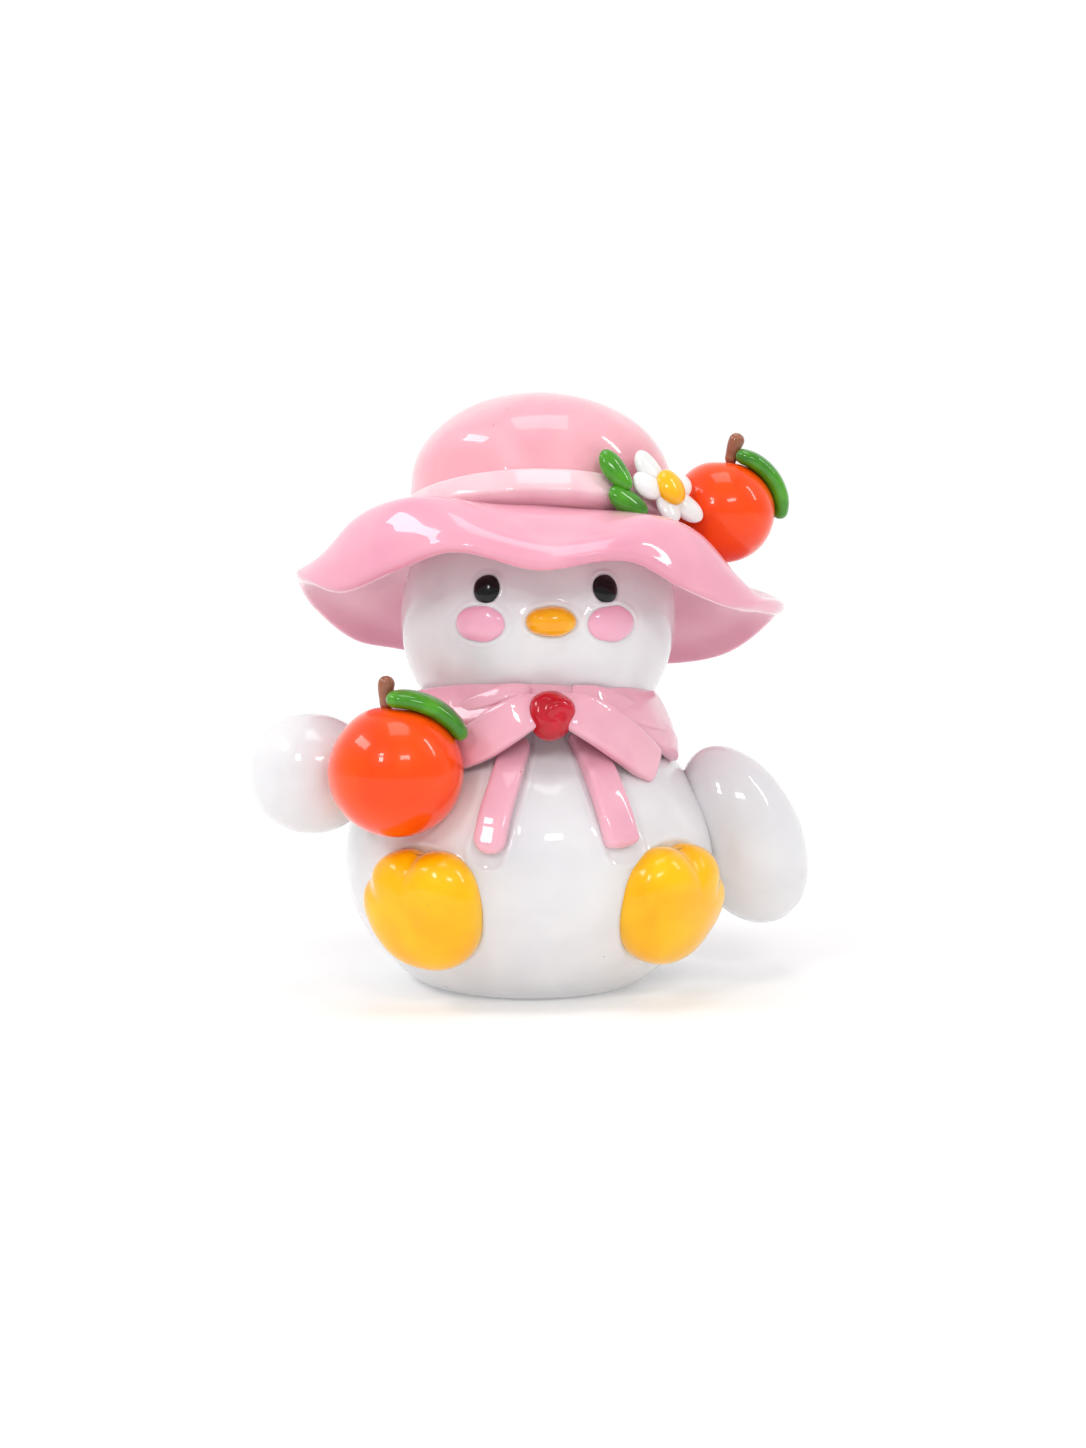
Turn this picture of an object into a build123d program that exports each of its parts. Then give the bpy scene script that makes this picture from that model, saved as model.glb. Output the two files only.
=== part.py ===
from build123d import *
import math
import os

# Snow-duck ornament in a sun hat. Millimetres, +Z up, the figure faces -Y, and the
# origin is the centre of the flat underside that it stands on.

# --- body and head ---
body_half_width = 37.3
body_half_height = 30.9
body_centre_z = 24.8
cavity_radius = 31.0
cavity_height = 33.0
cavity_round = 13.0
floor_thickness = 3.6
head_radius = 27.6
head_centre = (1.7, 0.0, 73.0)

# --- fixings hidden inside ---
dowel_radius = 3.0
dowel_bottom_z = 40.0
dowel_top_z = 56.0
drain_radius = 7.0
peg_radius = 2.5
peg_depth = 2.6

# --- rubber stopper in the casting hole ---
stopper_length = 7.0
stopper_clearance = 0.05
stopper_recess = 1.0
stopper_lead_radius = 6.2
stopper_pull_radius = 2.5
stopper_pull_depth = 1.4

# --- face ---
eye_half_sizes = (2.6, 1.4, 2.75)
cheek_half_sizes = (5.1, 1.9, 3.5)
beak_half_sizes = (4.8, 3.9, 2.85)
eye_bearing = 24.9
eye_lift = 14.0
eye_sink = 0.3
cheek_bearing = 27.0
cheek_lift = 0.2
cheek_sink = 0.5
beak_bearing = -2.2
beak_lift = 1.4
beak_sink = 0.4
face_turn = -3.9

# --- hat, in its own tilted frame: z along the hat's axis, front towards -y ---
hat_centre = (2.5, 4.5, 86.0)
hat_lean_back = 18.0
hat_roll = 4.0
crown_radius = 26.6
crown_height = 31.3
crown_shoulder = 13.6
crown_foot = 5.6
crown_wall = 3.2
band_radius = 27.2
band_half_height = 3.2
band_thickness = 4.4
band_z = 4.6
band_overhang = 0.6
brim_thickness = 2.6
brim_root_radius = 23.0
brim_root_z = 1.4
brim_sections = 24
section_steps = 8
knee_reach = 0.5
knee_fall = 0.36
shoulder_reach = 0.58
shoulder_bulge = 0.5
lip_roundness = 0.8

# brim wave: degrees round from the front (+ towards +X), radius, height in the hat frame
brim_edge = [
    (-98, 47.6, -7.0), (-80, 46.4, -11.2), (-65, 44.4, -15.4), (-48, 42.3, -13.4),
    (-31, 41.5, -11.1), (-8, 39.8, -14.3), (16, 41.0, -11.6), (34, 41.5, -14.8),
    (51, 43.0, -15.8), (66, 45.4, -13.6), (80, 47.8, -11.0), (97, 50.2, -7.8),
    (123, 51.6, -11.2), (150, 51.0, -10.4), (180, 50.2, -9.8), (-150, 49.6, -10.2),
    (-136, 49.4, -10.8), (-118, 48.6, -8.2),
]
brim_crest = [
    (-100, 39.5, -4.2), (-82, 41.0, -5.6), (-66, 40.9, -2.2), (-48, 39.8, -1.4),
    (-33, 39.0, -3.4), (-19, 37.4, -7.8), (-4, 36.4, -9.4), (7, 37.0, -8.4),
    (27, 38.8, -4.8), (40, 39.6, -5.0), (56, 39.8, -8.6), (72, 40.6, -11.8),
    (92, 42.4, -5.6), (123, 42.4, -6.0), (180, 42.0, -5.6), (-136, 41.4, -5.4),
]

# --- scarf ---
# ring outlines: radius, height above the top of the body, the ring rising to the front
collar_rise = 11.0
collar_outline = [
    (12, 1.4), (23.0, 2.2), (24.6, 2.0), (26.2, 0.2), (27.6, -2.8), (28.8, -6.2), (28.6, -8.6), (12, -8.6),
]
ribbon_rise = 5.0
ribbon_outline = [
    (12, 5.5), (27.0, 5.5), (28.9, 2.5), (29.6, -3.0), (30.4, -7.0), (30.8, -10.5), (29.8, -13.5), (12, -13.5),
]
tail_lift = 2.6
rose_centre = (0.5, -28.6, 56.1)
rose_half_sizes = (4.5, 3.4, 4.8)
left_loop = [(-3.0, 60.2), (-8.0, 58.8), (-12.0, 55.4), (-20.5, 53.0), (-21.5, 44.5), (-9.0, 49.2), (-3.0, 53.4)]
right_loop = [(3.4, 60.4), (9.0, 59.0), (15.0, 53.8), (23.8, 47.8), (18.4, 43.8), (11.8, 47.9), (4.4, 53.4)]
tails = {
    "bow_tail_left": ((-3.8, 51.5), (-11.4, 33.6), 5.8),
    "bow_tail_right": ((6.4, 51.5), (13.2, 33.9), 6.4),
}

# --- hands and feet ---
ball_hand_centre = (-43.8, -8.5, 43.2)
ball_hand_radius = 12.2
egg_hand_centre = (42.6, -4.5, 29.0)
egg_hand_half_sizes = (11.8, 12.0, 19.2)
egg_hand_lean = -24.0
ball_peg_length = 15.5
egg_peg_length = 10.5
foot_bearing = 40.5
foot_z = 19.2
foot_half_sizes = (12.8, 7.4, 11.6)
toe_depth = 5.4
toe_forward = 0.4
# each toe: degrees from straight up (+ away from the middle of the figure), reach, half width
toes = [(-38.0, 7.2, 5.9), (27.0, 6.8, 5.2), (74.0, 7.6, 4.9)]

# --- fruit: centre, radius, stem lean (degrees), leaf lean ---
fruits = {
    "held": ((-28.7, -27.5, 45.8), 12.9, -7.0, 30.0),
    "hat": ((38.4, -3.0, 93.9), 10.6, 9.0, 54.0),
}
stem_length = 6.0
stem_foot_radius = 1.5
stem_top_radius = 1.2
stem_sink = 1.2
leaf_half_length = 7.6
leaf_half_width = 2.8
leaf_thickness = 2.6
leaf_tip_forward = 12.0

# --- flower and leaves on the hat band ---
flower_bearing = 44.0
flower_z = 7.0
flower_stand_off = 29.6
flower_lean = 14.0
petal_half_width = 2.5
petal_half_length = 4.3
petal_reach = 4.6
petal_count = 5
first_petal = -26.0
button_radius = 3.0
button_depth = 1.5
button_rise = 2.6
button_round = 1.9
hat_leaf_half_width = 2.1
hat_leaf_half_length = 4.2
hat_leaf_roundness = 0.9
# each leaf: degrees round from the front, distance out, height, swing from upright
hat_leaves = {"hat_leaf_upper": (21.5, 29.5, 8.4, -37.0), "hat_leaf_lower": (25.4, 30.2, 3.8, -70.0)}

# a piece cut into bits keeps the bits above this share of its largest
kept_share = 0.02


def ellipsoid(half_sizes, place):
    """A ball stretched to its three half sizes and set at a place, its poles along y."""
    return place * scale(Rot(X=90) * Sphere(1.0), by=half_sizes)


def round_egg(half_width, half_height):
    """An ellipsoid that is round about Z, turned from half an ellipse."""
    outline = EllipticalCenterArc((0, 0), half_width, half_height, start_angle=-90, arc_size=180)
    face = make_face(Curve() + [outline, Line((0, half_height), (0, -half_height))])
    return revolve(Plane.XZ * face, axis=Axis.Z)


def body_outer(extra=0.0):
    """The body's outside, uncut, grown by an even extra thickness."""
    return Pos(0, 0, body_centre_z) * round_egg(body_half_width + extra, body_half_height + extra)


def ball(centre, radius):
    """A plain ball turned so that its surface poles lie clear of its joints."""
    return Pos(*centre) * Rot(X=-25) * Sphere(radius)


def head_ball():
    """The head's ball, its surface poles at its two sides, clear of its joints."""
    return Pos(*head_centre) * Rot(Y=90) * Sphere(head_radius)


def on_head(bearing, lift, depth=0.0):
    """A frame on the head's surface: -y points out of the head, z up."""
    turned = Pos(*head_centre) * Rot(Z=bearing) * Rot(X=-lift)
    return turned * Pos(0, depth - head_radius, 0)


def hat_frame():
    return Pos(*hat_centre) * Rot(Y=hat_roll) * Rot(X=-hat_lean_back)


def around(points, angle, column):
    """Smooth closed curve through (degrees, ...) points, read at an angle."""
    ordered = sorted(points)
    count = len(ordered)
    angle = (angle - ordered[0][0]) % 360 + ordered[0][0]
    low = max(i for i in range(count) if ordered[i][0] <= angle)

    def point(i):
        turns = i // count
        return ordered[i % count][0] + 360 * turns, ordered[i % count][column]

    (a0, v0), (a1, v1), (a2, v2), (a3, v3) = [point(low + step) for step in (-1, 0, 1, 2)]
    span = a2 - a1
    slope_1 = (v2 - v0) / (a2 - a0) * span
    slope_2 = (v3 - v1) / (a3 - a1) * span
    t = (angle - a1) / span
    return (
        (2 * t**3 - 3 * t**2 + 1) * v1 + (t**3 - 2 * t**2 + t) * slope_1
        + (3 * t**2 - 2 * t**3) * v2 + (t**3 - t**2) * slope_2
    )


def brim_section(angle):
    """The brim's closed cross-section at an angle, in the hat frame."""
    crest = (around(brim_crest, angle, 1), around(brim_crest, angle, 2))
    edge = (around(brim_edge, angle, 1), around(brim_edge, angle, 2))
    root = (brim_root_radius, brim_root_z)
    knee = (root[0] + knee_reach * (crest[0] - root[0]), root[1] + knee_fall * (crest[1] - root[1]))
    shoulder_radius = crest[0] + shoulder_reach * (edge[0] - crest[0]) + shoulder_bulge
    shoulder = (shoulder_radius, (crest[1] + edge[1]) / 2)
    line = Spline(root, knee, crest, shoulder, edge)
    half = brim_thickness / 2
    upper = []
    lower = []
    for step in range(section_steps):
        where = line @ (step / (section_steps - 1))
        along = line % (step / (section_steps - 1))
        upper.append((where.X - along.Y * half, where.Y + along.X * half))
        lower.append((where.X + along.Y * half, where.Y - along.X * half))
    tip = line @ 1 + (line % 1) * half * lip_roundness
    rounded = ThreePointArc(upper[-1], (tip.X, tip.Y), lower[-1])
    wire = Curve() + [Spline(upper), rounded, Spline(lower[::-1]), Line(lower[0], upper[0])]
    face = Plane.XZ * make_face(wire)
    return Rot(Z=angle - 90) * face


def brim_ring():
    """The whole wavy brim as two lofted halves joined into one."""
    step = 360 / brim_sections
    halves = []
    for first in (0, brim_sections // 2):
        faces = [brim_section(step * (first + i)) for i in range(brim_sections // 2 + 1)]
        halves.append(loft(faces))
    return hat_frame() * (halves[0] + halves[1])


def crown_dome(radius, height):
    """The hat's straight-sided crown, standing on its foot plane, and its domed top."""
    up = (Align.CENTER, Align.CENTER, Align.MIN)
    wall = Pos(0, 0, crown_foot) * Cylinder(radius, crown_shoulder - crown_foot, align=up)
    dome = Pos(0, 0, crown_shoulder) * round_egg(radius, height - crown_shoulder)
    above = Pos(0, 0, crown_shoulder) * Cylinder(radius + 1, height, align=up)
    return hat_frame() * (wall + (dome & above))


def make_band():
    ring = Torus(band_radius - band_thickness / 2 + band_overhang, band_half_height)
    inner = Cylinder(brim_root_radius, 4 * band_half_height)
    return hat_frame() * Pos(0, 0, band_z) * (ring - inner)


def scarf_ring(outline, rise):
    """A ring round the neck from a (radius, height) outline, tilted up by rise degrees at the front."""
    tilt = Pos(0, 0, body_centre_z + body_half_height) * Rot(X=-rise)
    return tilt * revolve(Plane.XZ * make_face(Polyline(*outline, close=True)), axis=Axis.Z)


def front_prism(points):
    """A block that runs front to back behind an outline given as (x, z) points."""
    face = Plane.XZ * make_face(Polyline(*points, close=True))
    return extrude(face, 60, dir=(0, -1, 0))


def tail_block(top, bottom, width):
    """A straight ribbon end with a round tip, as a block that runs front to back."""
    run_x = bottom[0] - top[0]
    run_z = bottom[1] - top[1]
    length = math.hypot(run_x, run_z)
    angle = math.degrees(math.atan2(run_z, run_x))
    strip = Pos(*top) * Rot(Z=angle) * (
        Pos(length / 2, 0) * Rectangle(length, width) + Pos(length, 0) * Circle(width / 2))
    return extrude(Plane.XZ * strip, 60, dir=(0, -1, 0))


def foot(side):
    """A padded foot with three toes, lying against the lower front of the body."""
    fall = (foot_z - body_centre_z) / body_half_height
    reach = body_half_width * math.sqrt(1 - fall**2)
    lean = math.degrees(math.atan(fall * body_half_width / body_half_height / math.sqrt(1 - fall**2)))
    place = Rot(Z=side * foot_bearing) * Pos(0, -reach, foot_z) * Rot(X=-lean)
    whole = ellipsoid(foot_half_sizes, place)
    for degrees, toe_reach, half_width in toes:
        swing = Rot(Y=side * degrees) * Pos(0, -toe_forward, toe_reach)
        whole += ellipsoid((half_width, toe_depth, half_width), place * swing)
    peg = place * Rot(X=90) * Cylinder(
        peg_radius, peg_depth, align=(Align.CENTER, Align.CENTER, Align.MAX))
    return (whole - body_outer()) + peg, peg


def peg_towards_body(centre, far):
    """A locating peg on the line from a piece's centre to the middle of the body."""
    target = Vector(0, 0, body_centre_z)
    start = Vector(*centre)
    aim = Plane(origin=start, z_dir=target - start)
    return aim * Cylinder(peg_radius, far, align=(Align.CENTER, Align.CENTER, Align.MIN))


def stem(centre, radius, lean):
    """A short stalk, round at its top, that starts a little inside the fruit."""
    stalk = Cone(stem_foot_radius, stem_top_radius, stem_length, align=(Align.CENTER, Align.CENTER, Align.MIN))
    stalk = fillet(stalk.edges().group_by(Axis.Z)[-1], 0.8 * stem_top_radius)
    return Pos(*centre) * Rot(Y=lean) * Pos(0, 0, radius - stem_sink) * stalk


def leaf(centre, radius, lean):
    """A thick leaf lying bent over the shoulder of a fruit, beside its stem."""
    shell = Rot(X=-25) * Sphere(radius + leaf_thickness)
    block = extrude(Ellipse(leaf_half_length, leaf_half_width), radius + leaf_thickness)
    return Pos(*centre) * Rot(X=leaf_tip_forward) * Rot(Y=lean) * (shell & block)


def flower_place():
    return hat_frame() * Rot(Z=flower_bearing) * Pos(0, -flower_stand_off, flower_z) * Rot(X=-flower_lean)


def petal(index):
    """One fat petal, trimmed to its own fifth of the flower."""
    swing = Rot(Y=first_petal + index * 360 / petal_count)
    egg = Pos(0, 0, petal_reach) * round_egg(petal_half_width, petal_half_length)
    reach = petal_reach + petal_half_length
    half_turn = math.radians(180 / petal_count)
    corner = (reach * math.sin(half_turn), reach * math.cos(half_turn))
    wedge = Plane.XZ * make_face(Polyline((0, 0), corner, (0, 2 * reach), (-corner[0], corner[1]), close=True))
    sector = extrude(wedge, 10, both=True)
    return flower_place() * swing * (egg & sector)


def flower_button():
    """The flower's domed centre, a short round plug that the petals meet."""
    button = Cylinder(button_radius, button_depth + button_rise)
    button = fillet(button.edges().group_by(Axis.Z)[-1], button_round)
    return flower_place() * Rot(X=90) * Pos(0, 0, (button_rise - button_depth) / 2) * button


def hat_leaf():
    """A fat little leaf: a short bar with round ends."""
    bar = Cylinder(hat_leaf_half_width, 2 * hat_leaf_half_length)
    return fillet(bar.edges().filter_by(GeomType.CIRCLE), hat_leaf_roundness * hat_leaf_half_width)


def stopper():
    """A tapered rubber plug with a finger hollow underneath."""
    up = (Align.CENTER, Align.CENTER, Align.MIN)
    straight = floor_thickness - stopper_recess
    radius = drain_radius - stopper_clearance
    plug = Cylinder(radius, straight, align=up)
    lead = Pos(0, 0, straight) * Cone(radius, stopper_lead_radius, stopper_length - straight, align=up)
    hollow = Cylinder(stopper_pull_radius, stopper_pull_depth, align=up)
    return Pos(0, 0, stopper_recess) * (plug + lead - hollow)


def build():
    pieces = {}
    head = head_ball()
    ground = Pos(0, 0, -50) * Box(200, 200, 100)
    cavity = Pos(0, 0, floor_thickness + cavity_height / 2) * Cylinder(cavity_radius, cavity_height)
    cavity = fillet(cavity.edges().filter_by(GeomType.CIRCLE), cavity_round)
    drain = Cylinder(drain_radius, 4 * floor_thickness)
    dowel = Pos(head_centre[0], 0, dowel_bottom_z) * Cylinder(
        dowel_radius, dowel_top_z - dowel_bottom_z, align=(Align.CENTER, Align.CENTER, Align.MIN))
    body = body_outer() - ground
    body = body - (cavity + drain)
    body = body - head
    body = body - dowel
    head -= dowel

    # face pieces, each set in a shallow seat of its own shape
    face = {
        "eye_left": ellipsoid(eye_half_sizes, on_head(face_turn - eye_bearing, eye_lift, eye_sink)),
        "eye_right": ellipsoid(eye_half_sizes, on_head(face_turn + eye_bearing, eye_lift, eye_sink)),
        "cheek_left": ellipsoid(cheek_half_sizes, on_head(face_turn - cheek_bearing, cheek_lift, cheek_sink)),
        "cheek_right": ellipsoid(cheek_half_sizes, on_head(face_turn + cheek_bearing, cheek_lift, cheek_sink)),
        "beak": ellipsoid(beak_half_sizes, on_head(beak_bearing, beak_lift, beak_sink)),
    }
    for piece in face.values():
        head -= piece

    # hat
    brim = brim_ring() - head_ball()
    band = make_band() - head_ball() - brim
    crown = crown_dome(crown_radius, crown_height)
    crown -= crown_dome(crown_radius - crown_wall, crown_height - crown_wall)
    crown = crown - head_ball() - brim - band

    # limbs
    ball_peg = peg_towards_body(ball_hand_centre, ball_peg_length)
    ball_hand = ball(ball_hand_centre, ball_hand_radius)
    ball_hand = (ball_hand - body_outer()) + ball_peg
    egg_peg = peg_towards_body(egg_hand_centre, egg_peg_length)
    egg_hand = ellipsoid(egg_hand_half_sizes, Pos(*egg_hand_centre) * Rot(Y=egg_hand_lean))
    egg_hand = (egg_hand - body_outer()) + egg_peg
    feet = {"foot_left": foot(-1), "foot_right": foot(1)}
    body = body - ball_peg
    body = body - egg_peg
    for name, (solid, peg) in feet.items():
        body -= peg
        pieces[name] = solid

    # fruit
    held = ball(*fruits["held"][:2])
    pieces["held_fruit"] = held - body_outer()
    ball_hand -= held
    on_hat = ball(*fruits["hat"][:2])
    hat_fruit = on_hat - brim - band - crown

    for name, (centre, radius, stem_lean, leaf_lean) in fruits.items():
        whole = ball(centre, radius)
        stalk = stem(centre, radius, stem_lean) - whole
        pieces[name + "_fruit_stem"] = stalk
        pieces[name + "_fruit_leaf"] = leaf(centre, radius, leaf_lean) - whole - stalk

    # scarf
    whole_collar = scarf_ring(collar_outline, collar_rise)
    neck_scarf = whole_collar - head_ball() - body_outer()
    ribbon_ring = scarf_ring(ribbon_outline, ribbon_rise)
    rose = ellipsoid(rose_half_sizes, Pos(*rose_centre))
    loops = {
        "bow_loop_left": front_prism(left_loop),
        "bow_loop_right": front_prism(right_loop),
    }
    for name, block in loops.items():
        ribbon = ribbon_ring & block
        for other in (whole_collar, body_outer(), head_ball(), rose, held):
            ribbon -= other
        pieces[name] = ribbon
    for name, (top, bottom, width) in tails.items():
        ribbon = (body_outer(tail_lift) & tail_block(top, bottom, width)) - body_outer()
        for other in [neck_scarf, rose, pieces["bow_loop_left"], pieces["bow_loop_right"]]:
            ribbon -= other
        pieces[name] = ribbon
    rose = rose - neck_scarf - head_ball() - body_outer()
    neck_scarf -= held

    # flower and leaves
    centre_button = flower_button()
    taken = [crown, band, brim, on_hat, centre_button]
    for index in range(petal_count):
        bloom = petal(index)
        for other in taken:
            bloom -= other
        pieces["petal_" + str(index + 1)] = bloom
        taken.append(bloom)
    for name, (bearing, reach, height, swing) in hat_leaves.items():
        place = hat_frame() * Rot(Z=bearing) * Pos(0, -reach, height) * Rot(X=-flower_lean)
        sprig = place * Rot(Y=swing) * hat_leaf()
        for other in taken:
            sprig -= other
        pieces[name] = sprig
        taken.append(sprig)
    pieces["flower_centre"] = centre_button - crown - band - brim - on_hat

    pieces.update(face)
    pieces.update({
        "body_shell": body, "head": head, "neck_dowel": dowel, "stopper": stopper(),
        "hat_brim": brim, "hat_band": band, "hat_crown": crown, "hat_fruit": hat_fruit,
        "hand_left": ball_hand, "hand_right": egg_hand,
        "scarf_collar": neck_scarf, "rose_bead": rose,
    })
    return pieces


def save(pieces):
    os.makedirs("parts", exist_ok=True)
    for name, shape in pieces.items():
        solids = shape.solids()
        biggest = max(solid.volume for solid in solids)
        kept = [solid for solid in solids if solid.volume > kept_share * biggest]
        export_step(Compound(kept) if len(kept) > 1 else kept[0], "parts/" + name + ".step")


save(build())
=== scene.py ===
import math

import bmesh
import bpy
import numpy as np
from mathutils import Matrix, Vector


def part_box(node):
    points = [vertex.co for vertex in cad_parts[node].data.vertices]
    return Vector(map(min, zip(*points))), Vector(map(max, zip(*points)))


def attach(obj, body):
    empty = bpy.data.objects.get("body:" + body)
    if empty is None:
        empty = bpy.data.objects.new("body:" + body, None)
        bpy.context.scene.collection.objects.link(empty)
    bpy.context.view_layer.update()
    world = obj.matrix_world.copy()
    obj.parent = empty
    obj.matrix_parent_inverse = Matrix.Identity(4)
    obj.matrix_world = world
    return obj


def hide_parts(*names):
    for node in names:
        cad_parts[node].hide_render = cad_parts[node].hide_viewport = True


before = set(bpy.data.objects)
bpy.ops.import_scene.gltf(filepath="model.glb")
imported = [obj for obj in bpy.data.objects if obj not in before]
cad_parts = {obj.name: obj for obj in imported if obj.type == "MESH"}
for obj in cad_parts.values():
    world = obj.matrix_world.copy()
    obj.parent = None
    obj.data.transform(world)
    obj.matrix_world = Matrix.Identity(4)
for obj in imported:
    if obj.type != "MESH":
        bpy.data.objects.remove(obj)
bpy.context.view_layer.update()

# Lengths below are millimetres in the CAD model's frame; meshes are written in metres.
MM = 0.001
FIGURE = "figure"


def extent(node):
    """Size of a CAD node's box, in millimetres."""
    low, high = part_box(node)
    return np.array(high - low) / MM


# --- driving places and sizes ---
# "left" and "right" are as seen from the front, and degrees round the figure or the hat
# start at the front (-Y) and grow towards +X
HEAD_CENTRE = np.array((1.7, 0.0, 73.0))
HEAD_RADIUS = 27.6
BODY_HALF_WIDTH = extent("body_shell")[0] / 2
BODY_HALF_HEIGHT = 30.9
BODY_CENTRE_Z = 24.8
HOLE_CLEARANCE = 0.05
HOLE_RADIUS = extent("stopper")[0] / 2 + HOLE_CLEARANCE
BASE_THICKNESS = 3.6
CAVITY_RADIUS = 31.0
CAVITY_TOP_Z = 36.6
CAVITY_CORNER = 13.0
HAT_CENTRE = np.array((2.5, 4.5, 86.0))
HAT_LEAN_BACK = 18.0
HAT_ROLL = 4.0

# bearing and lift in degrees, depth of the pebble's middle under the head's skin, half sizes
FACE_TURN = -3.9
EYE_BEARING, EYE_LIFT, EYE_SINK = 24.9, 14.0, 0.25
CHEEK_BEARING, CHEEK_LIFT, CHEEK_SINK = 27.0, 0.2, 0.5
BEAK_BEARING, BEAK_LIFT, BEAK_SINK = -2.2, 1.4, 0.3
EYE_SIZE = (2.65, 1.4, 2.8)
CHEEK_SIZE = (5.1, 1.9, 3.5)
BEAK_SIZE = (4.8, 3.4, 2.85)
PEBBLE_SQUARENESS = 2.12
SEAT_DEPTH = 0.5
SEAT_INSET = 0.4

FOOT_BEARING = 40.5
FOOT_Z = 19.2
FOOT_SIZE = (12.6, 7.2, 11.6)
# outline of a foot: degrees from straight up (+ away from the middle of the figure), radius
FOOT_OUTLINE = [
    (-165, 11.6), (-120, 12.2), (-78, 13.1), (-35, 13.3), (-15, 12.2), (-4, 11.4), (10, 12.0),
    (27, 12.2), (43, 12.0), (56, 11.6), (68, 12.3), (84, 12.6), (104, 11.7), (130, 10.7),
]
FOOT_SQUARENESS = 2.35
TOE_GROOVES = (-4.0, 56.0)
GROOVE_DEPTH = 0.75
GROOVE_HALF_WIDTH = 1.7

BALL_CENTRE = (-43.8, -8.5, 43.2)
BALL_RADIUS = 12.2
BALL_SQUASH = (1.0, 1.0, 0.985)
EGG_CENTRE = (42.6, -4.5, 29.0)
EGG_LEAN = -24.0
EGG_SIZE = (11.8, 12.0, 19.2)
EGG_TAPER = 0.07

# brim wave: degrees round from the front, radius, height in the hat's frame
BRIM_EDGE = [
    (-98, 47.6, -7.0), (-80, 46.4, -11.2), (-65, 44.4, -15.4), (-48, 42.3, -13.4),
    (-31, 41.5, -11.1), (-8, 39.8, -14.3), (16, 41.0, -11.6), (34, 41.5, -14.8),
    (51, 43.0, -15.8), (66, 45.4, -13.6), (80, 47.8, -11.0), (97, 50.2, -7.8),
    (123, 51.6, -11.2), (150, 51.0, -10.4), (180, 50.2, -9.8), (-150, 49.6, -10.2),
    (-136, 49.4, -10.8), (-118, 48.6, -8.2),
]
BRIM_CREST = [
    (-100, 39.5, -4.2), (-82, 41.0, -5.6), (-66, 40.9, -2.2), (-48, 39.8, -1.4),
    (-33, 39.0, -3.4), (-19, 37.4, -7.8), (-4, 36.4, -9.4), (7, 37.0, -8.4),
    (27, 38.8, -4.8), (40, 39.6, -5.0), (56, 39.8, -8.6), (72, 40.6, -11.8),
    (92, 42.4, -5.6), (123, 42.4, -6.0), (180, 42.0, -5.6), (-136, 41.4, -5.4),
]
BRIM_ROOT = (23.0, 1.4)
BRIM_KNEE = (0.5, 0.36)
SHOULDER_REACH = 0.58
SHOULDER_BULGE = 0.5
BRIM_THICKNESS = 2.5
# share of that thickness at the root, at the thickest place and at the lip
BRIM_SWELL = [1.0, 1.25, 1.2]
THICKEST_AT = 0.6
LIP_ROUNDNESS = 0.7
CROWN_RADIUS = 26.6
CROWN_HEIGHT = 31.3
CROWN_SHOULDER = 13.6
CROWN_FOOT = 5.6
CROWN_WALL = 3.2

# gentle unevenness of each piece's skin: height, wave length, seed, and an even shift outwards
UNEVENNESS = {
    "head": (0.14, 19, 3, -0.1),
    "body": (0.22, 22, 11, -0.16),
    "brim": (0.12, 17, 21, 0.0),
    "crown": (0.16, 20, 31, -0.1),
    "band": (0.12, 15, 41, 0.0),
    "fruit": (0.10, 14, 51, -0.1),
    "collar": (0.18, 13, 61, 0.0),
    "ball_hand": (0.14, 14, 71, -0.14),
    "egg_hand": (0.16, 17, 81, -0.12),
    "foot": (0.12, 13, 91, -0.1),
}
# waves added together, the spread of their lengths, and of where they start, in radians
WAVES = 7
WAVE_SPREAD = (0.7, 1.5)
WAVE_START = (0, 6.3)


# --- places ---
def shift(x, y, z):
    return Matrix.Translation((x, y, z))


def turn(axis, degrees):
    return Matrix.Rotation(math.radians(degrees), 4, axis)


def put(place, points):
    """Points (n, 3) carried by a 4x4 place."""
    m = np.array(place)
    return points @ m[:3, :3].T + m[:3, 3]


def back(place, points):
    return put(place.inverted(), points)


def on_head(bearing, lift, depth):
    """A frame on the head's surface: -y points out of the head, z up."""
    return (
        shift(*HEAD_CENTRE) @ turn("Z", bearing) @ turn("X", -lift) @ shift(0, depth - HEAD_RADIUS, 0)
    )


def hat_place():
    return shift(*HAT_CENTRE) @ turn("Y", HAT_ROLL) @ turn("X", -HAT_LEAN_BACK)


def on_hat(bearing, radius, height, tip):
    """A frame beside the crown: -y points away from the hat's axis."""
    return hat_place() @ turn("Z", bearing) @ shift(0, -radius, height) @ turn("X", tip)


def foot_place(side):
    fall = (FOOT_Z - BODY_CENTRE_Z) / BODY_HALF_HEIGHT
    reach = BODY_HALF_WIDTH * math.sqrt(1 - fall**2)
    slope = fall * BODY_HALF_WIDTH / BODY_HALF_HEIGHT / math.sqrt(1 - fall**2)
    lean = math.degrees(math.atan(slope))
    return (
        turn("Z", side * FOOT_BEARING) @ shift(0, -reach, FOOT_Z) @ turn("X", -lean)
    )


# --- smooth helpers ---
def unit(vectors):
    return vectors / np.linalg.norm(vectors, axis=-1, keepdims=True)


def uneven(points, piece):
    """How far a piece's skin swells outwards at its points, the same on every run."""
    height, length, seed, outwards = UNEVENNESS[piece]
    draw = np.random.RandomState(seed)
    total = np.zeros(len(points))
    for _ in range(WAVES):
        way = unit(draw.normal(size=3))
        wave_length = length * draw.uniform(*WAVE_SPREAD)
        start = draw.uniform(*WAVE_START)
        total += np.sin(points @ way * 2 * math.pi / wave_length + start)
    # a third of the sum is about 1 at its highest
    return height * (total / 3) + outwards


def bump(x, width):
    """1 where x is 0, fading away smoothly within about one width."""
    return np.exp(-((x / width) ** 2))


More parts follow.
